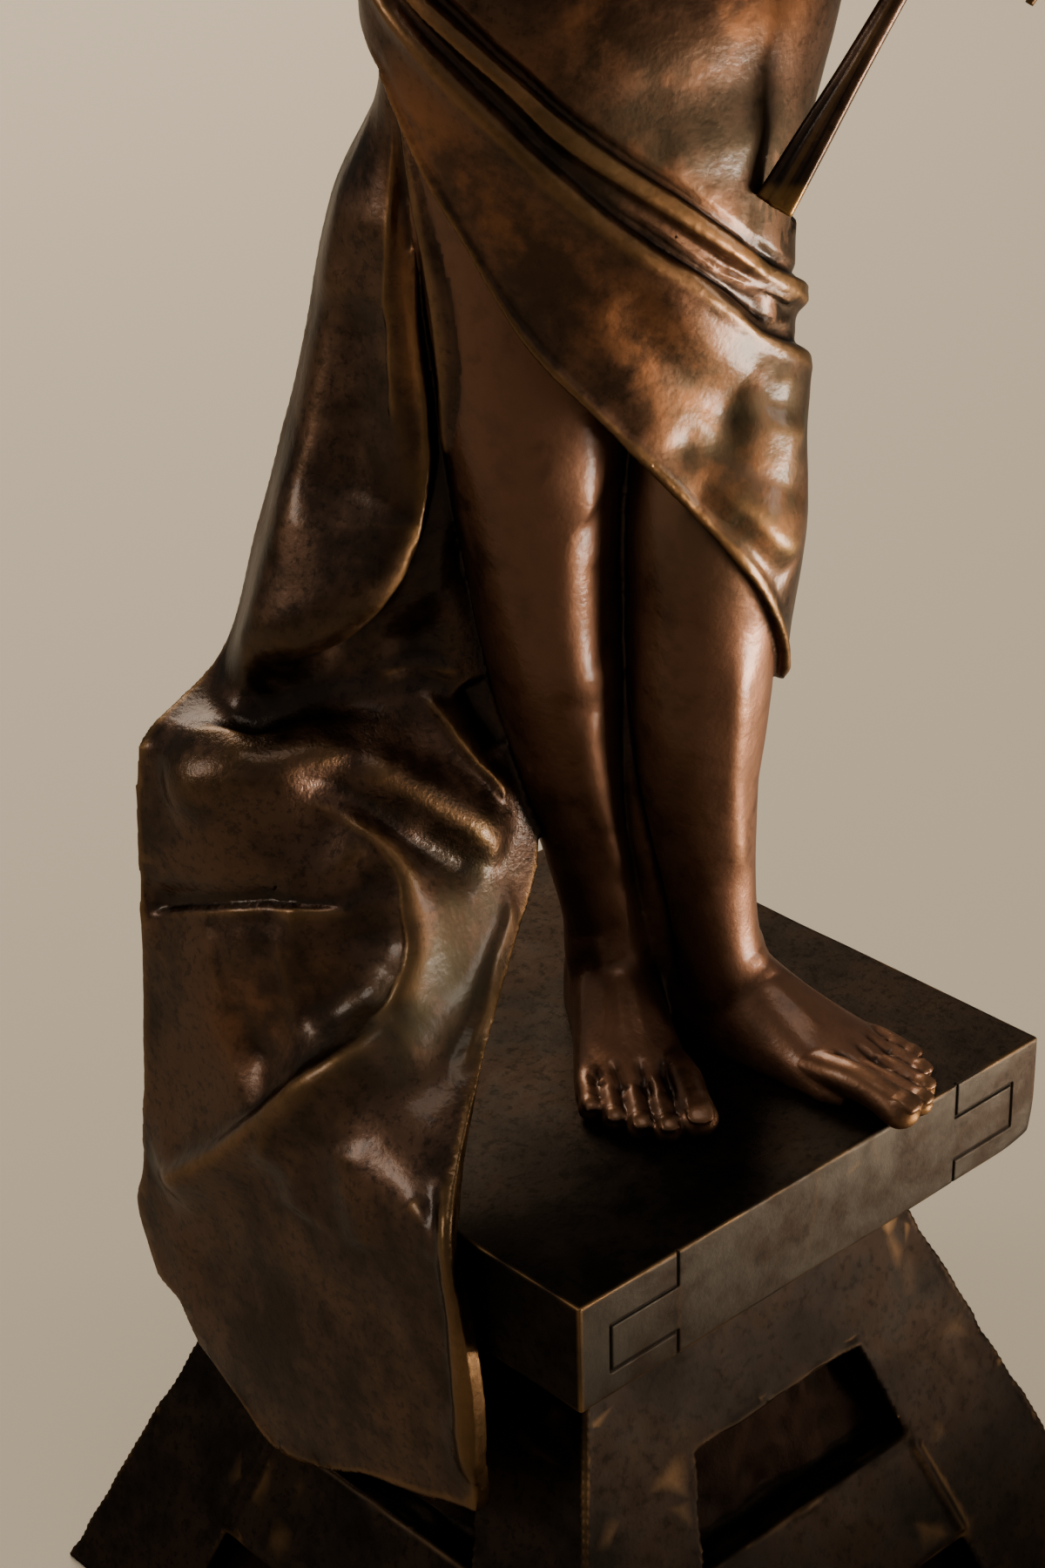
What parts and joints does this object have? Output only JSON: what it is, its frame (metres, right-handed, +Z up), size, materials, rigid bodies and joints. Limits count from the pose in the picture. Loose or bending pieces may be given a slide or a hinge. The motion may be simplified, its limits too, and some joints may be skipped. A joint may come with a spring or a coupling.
{
  "type": "draped female statue on a tapered base",
  "caption": "Standing draped woman with a long cloak over the slab edge and a palm frond in one hand, on a square slab above a tapered base with window recesses.",
  "frame": {"origin": "centre of the tapered base's underside", "axes": "+Z up; the front of the statue and of the slab looks along -Y, her left side is +X"},
  "size_m": [0.2612, 0.2612, 0.8688],
  "materials": {
    "pylon": "dark brown patina, waxed, gold worn edges",
    "slab": "dark brown patina, waxed, gold worn edges",
    "figure": "red brown and dark brown patina, waxed satin",
    "palm_frond": "dark brown patina, waxed satin"
  },
  "bodies": {
    "root": {"pylon": "pylon", "slab": "slab", "figure": "figure", "palm_frond": "palm_frond"}
  },
  "joints": []
}
